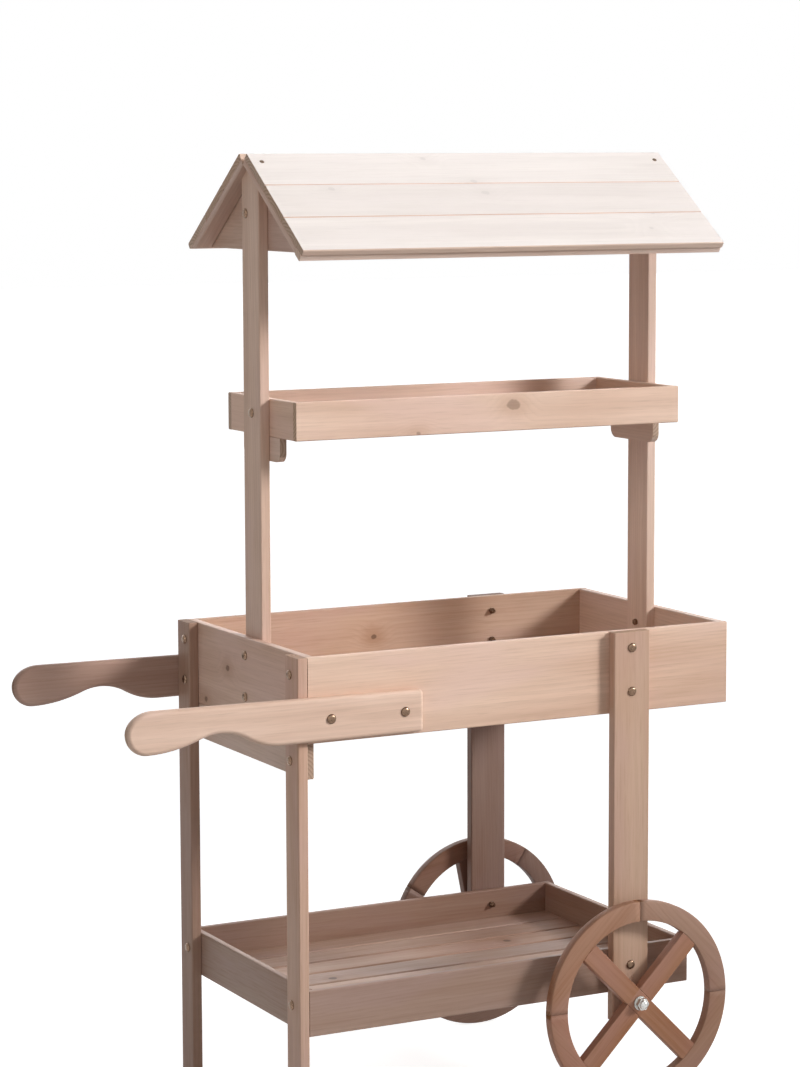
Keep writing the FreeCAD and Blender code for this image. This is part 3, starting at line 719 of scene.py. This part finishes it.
def wheel_point(radius, angle, y):
    """A point on a wheel, with its angle counted from straight down."""
    return Vector((WHEEL_X + radius * math.sin(angle), y, AXLE_HEIGHT - radius * math.cos(angle)))


def rim_section():
    """Radius and depth of the rim's outline, which is rounded more outside than inside."""
    outer, inner = 0.0025, 0.00125
    corners = ((RIM_INNER + inner, inner, inner, math.pi),
               (WHEEL_RADIUS - outer, outer, outer, 1.5 * math.pi),
               (WHEEL_RADIUS - outer, STOUT - outer, outer, 0.0),
               (RIM_INNER + inner, STOUT - inner, inner, 0.5 * math.pi))
    points = []
    for radius, depth, size, start in corners:
        for step in range(4):
            turn = start + math.pi / 2 * step / 3
            points.append((radius + size * math.cos(turn), depth + size * math.sin(turn)))
    return points


def rim_segment(middle, base):
    """A quarter of a rim about its middle angle, between open joints."""
    mesh = bmesh.new()
    gap = OPEN_JOINT / WHEEL_RADIUS
    rings = []
    for step in range(25):
        angle = middle - math.pi / 4 + gap + (math.pi / 2 - 2 * gap) * step / 24
        rings.append([mesh.verts.new(wheel_point(r, angle, base + y)) for r, y in rim_section()])
    skin(mesh, rings)
    return mesh


def rims():
    """Each rim as four segments, with the grain of each along its chord."""
    for side, name in ((-1, "front"), (1, "rear")):
        base = -WHEEL_INNER_FACE - STOUT if side < 0 else WHEEL_INNER_FACE
        for quarter in range(4):
            middle = -WHEEL_TURNS[name] + quarter * math.pi / 2
            centre = wheel_point(0.155, middle, base + STOUT / 2)
            turn = (Matrix.Rotation(-middle, 3, "Y") @ UPRIGHT.to_matrix()).to_euler()
            label = f"wheel_rim_{name}_{quarter + 1}"
            material = timber(label, centre, turn, 3.7 * quarter + 17 * (side + 2), CLEAR)
            new_piece(label, rim_segment(middle, base), "wheel_" + name, material,
                      ("wheel_rim_" + name,))


def cross_grain(tree):
    """Turn the grain by a quarter on the bar that crosses, and on its half of the middle joint."""
    group = next(node for node in tree.nodes if node.type == "GROUP")
    x, y, z = parts(tree, group.inputs["Place"].links[0].from_socket)
    edge = SPOKE_WIDTH / 2 + OPEN_JOINT
    narrow = sums(tree, "LESS_THAN", sums(tree, "ABSOLUTE", x), edge)
    beyond = sums(tree, "GREATER_THAN", sums(tree, "ABSOLUTE", y), edge)
    under = sums(tree, "LESS_THAN", z, 0.0)
    crossing = times(tree, narrow, sums(tree, "MAXIMUM", beyond, under))
    for key, shift in (("Place", (0.9, 0, 0)), ("Normal", (0, 0, 0))):
        straight = group.inputs[key].links[0].from_socket
        turned = add_node(tree, "ShaderNodeMapping", vector_type="POINT", Vector=straight,
                          Location=shift, Rotation=(0, 0, -math.pi / 2)).outputs[0]
        both = tree.nodes.new("ShaderNodeMix")
        both.data_type = "VECTOR"
        tree.links.new(crossing, both.inputs[0])
        tree.links.new(straight, both.inputs[4])
        tree.links.new(turned, both.inputs[5])
        tree.links.new(both.outputs[1], group.inputs[key])


def paint_spokes():
    """The two crossed bars of each wheel, each with its own grain."""
    for side, name in ((-1, "front"), (1, "rear")):
        node = frame["nodes"]["wheel_spokes_" + name]
        wheel_turn = Matrix.Rotation(WHEEL_TURNS[name], 3, "Y")
        turn = wheel_turn @ Matrix.Rotation(-math.pi / 2, 3, "Y") @ UPRIGHT.to_matrix()
        centre = (WHEEL_X, side * (WHEEL_INNER_FACE + STOUT / 2), AXLE_HEIGHT)
        material = timber("wheel_spokes_" + name, centre, turn.to_euler(), 23.0 + side, CLEAR)
        cross_grain(material.node_tree)
        put_material(node, material)
        soften(node, 0.0015)


# ---- room ----

def shown(tree):
    """1 for rays from the camera, from a reflection or through glass, and 0 for the others."""
    path = tree.nodes.new("ShaderNodeLightPath").outputs
    return sums(tree, "MAXIMUM", path["Is Camera Ray"],
                sums(tree, "MAXIMUM", path["Is Glossy Ray"], path["Is Transmission Ray"]))


def floor():
    """A pale floor that looks white and keeps the cart's shadow."""
    mesh = bmesh.new()
    corners = ((-30, -30, 0), (30, -30, 0), (30, 30, 0), (-30, 30, 0))
    mesh.faces.new([mesh.verts.new(point) for point in corners])
    data = bpy.data.meshes.new("floor")
    mesh.to_mesh(data)
    mesh.free()
    piece = put_in_scene("floor", data)
    material, tree, plain = new_material("floor")
    plain.inputs["Base Color"].default_value = (0.78, 0.78, 0.78, 1)
    plain.inputs["Roughness"].default_value = 0.9
    white = add_node(tree, "ShaderNodeEmission", Strength=0.745).outputs[0]
    both = add_node(tree, "ShaderNodeAddShader", _0=plain.outputs[0], _1=white).outputs[0]
    mix = add_node(tree, "ShaderNodeMixShader", _0=shown(tree), _1=plain.outputs[0], _2=both)
    tree.links.new(mix.outputs[0], tree.nodes["Material Output"].inputs["Surface"])
    data.materials.append(material)


def world():
    """White where it is seen or reflected, and a dim fill light elsewhere."""
    sky = bpy.data.worlds.new("sky")
    bpy.context.scene.world = sky
    sky.use_nodes = True
    tree = sky.node_tree
    back = tree.nodes["Background"]
    back.inputs["Color"].default_value = (1, 1, 1, 1)
    tree.links.new(fade(tree, shown(tree), 0.0, 1.0, 0.15, 1.0), back.inputs["Strength"])


def lamp(name, toward, strength, spread):
    """A distant lamp whose light comes from the direction toward."""
    data = bpy.data.lights.new(name, "SUN")
    data.energy = strength
    data.angle = math.radians(spread)
    piece = put_in_scene(name, data)
    piece.rotation_euler = Vector(toward).to_track_quat("Z", "Y").to_euler()


def panel(name, target, toward, distance, power, size, spread, colour=(1, 1, 1)):
    """A square soft light on a stand, brightest on its target and dimming away from there."""
    data = bpy.data.lights.new(name, "AREA")
    data.shape = "SQUARE"
    data.size = size
    data.spread = math.radians(spread)
    data.energy = power
    data.color = colour
    piece = put_in_scene(name, data)
    piece.location = Vector(target) + toward * distance
    piece.rotation_euler = toward.to_track_quat("Z", "Y").to_euler()


def lamps():
    """A key lamp from the front right, a weak warm one from the left, and two soft fills."""
    azimuth, height = math.radians(51), math.radians(24)
    key = Vector((math.sin(azimuth) * math.cos(height), -math.cos(azimuth) * math.cos(height),
                  math.sin(height)))
    panel("key", (-0.08, 0, 1.17), key, 6.0, 16.3, 2.2, 20.0)
    left = Vector((-0.88, -0.35, 0.32)).normalized()
    panel("left", (0, 0, 1.38), left, 5.0, 1.62, 1.8, 26.0, (1.0, 0.92, 0.86))
    lamp("front", (-0.2, -0.95, 0.25), 0.3, 60.0)
    lamp("back", (0.25, 0.9, 0.35), 1.5, 60.0)


def camera():
    """The photograph's viewpoint: a long lens at the cart's front left, looking slightly down."""
    data = bpy.data.cameras.new("camera")
    data.lens = 103.82
    data.sensor_width = 36.0
    data.shift_y = -0.0201
    data.clip_end = 100.0
    view = put_in_scene("camera", data)
    azimuth, elevation, roll = math.radians(27.7208), math.radians(6.6668), math.radians(-0.178)
    forward = Vector((math.sin(azimuth) * math.cos(elevation),
                      math.cos(azimuth) * math.cos(elevation),
                      -math.sin(elevation)))
    right = Vector((math.cos(azimuth), -math.sin(azimuth), 0))
    up = right.cross(forward)
    turn = Matrix((right, up, -forward)).transposed()
    view.rotation_euler = (turn @ Matrix.Rotation(roll, 3, "Z")).to_euler()
    view.location = (-2.3654, -4.5960, 1.6074)
    bpy.context.scene.camera = view


bronze = metal("bronzed_steel", BRONZE, 0.27, 0.45)
zinc = metal("zinc_steel", ZINC, 0.3, 0.75)
paint_boards()
bolts(bronze)
roof_screws(bronze)
handles()
rims()
paint_spokes()
for name in ("axle_rod", "axle_washers", "axle_nuts", "axle_spacers"):
    put_material(frame["nodes"][name], zinc)
white_nylon = nylon()
for name in ("wheel_bush_front", "wheel_bush_rear"):
    put_material(frame["nodes"][name], white_nylon)
floor()
world()
lamps()
camera()
bpy.context.scene.view_settings.view_transform = "Standard"
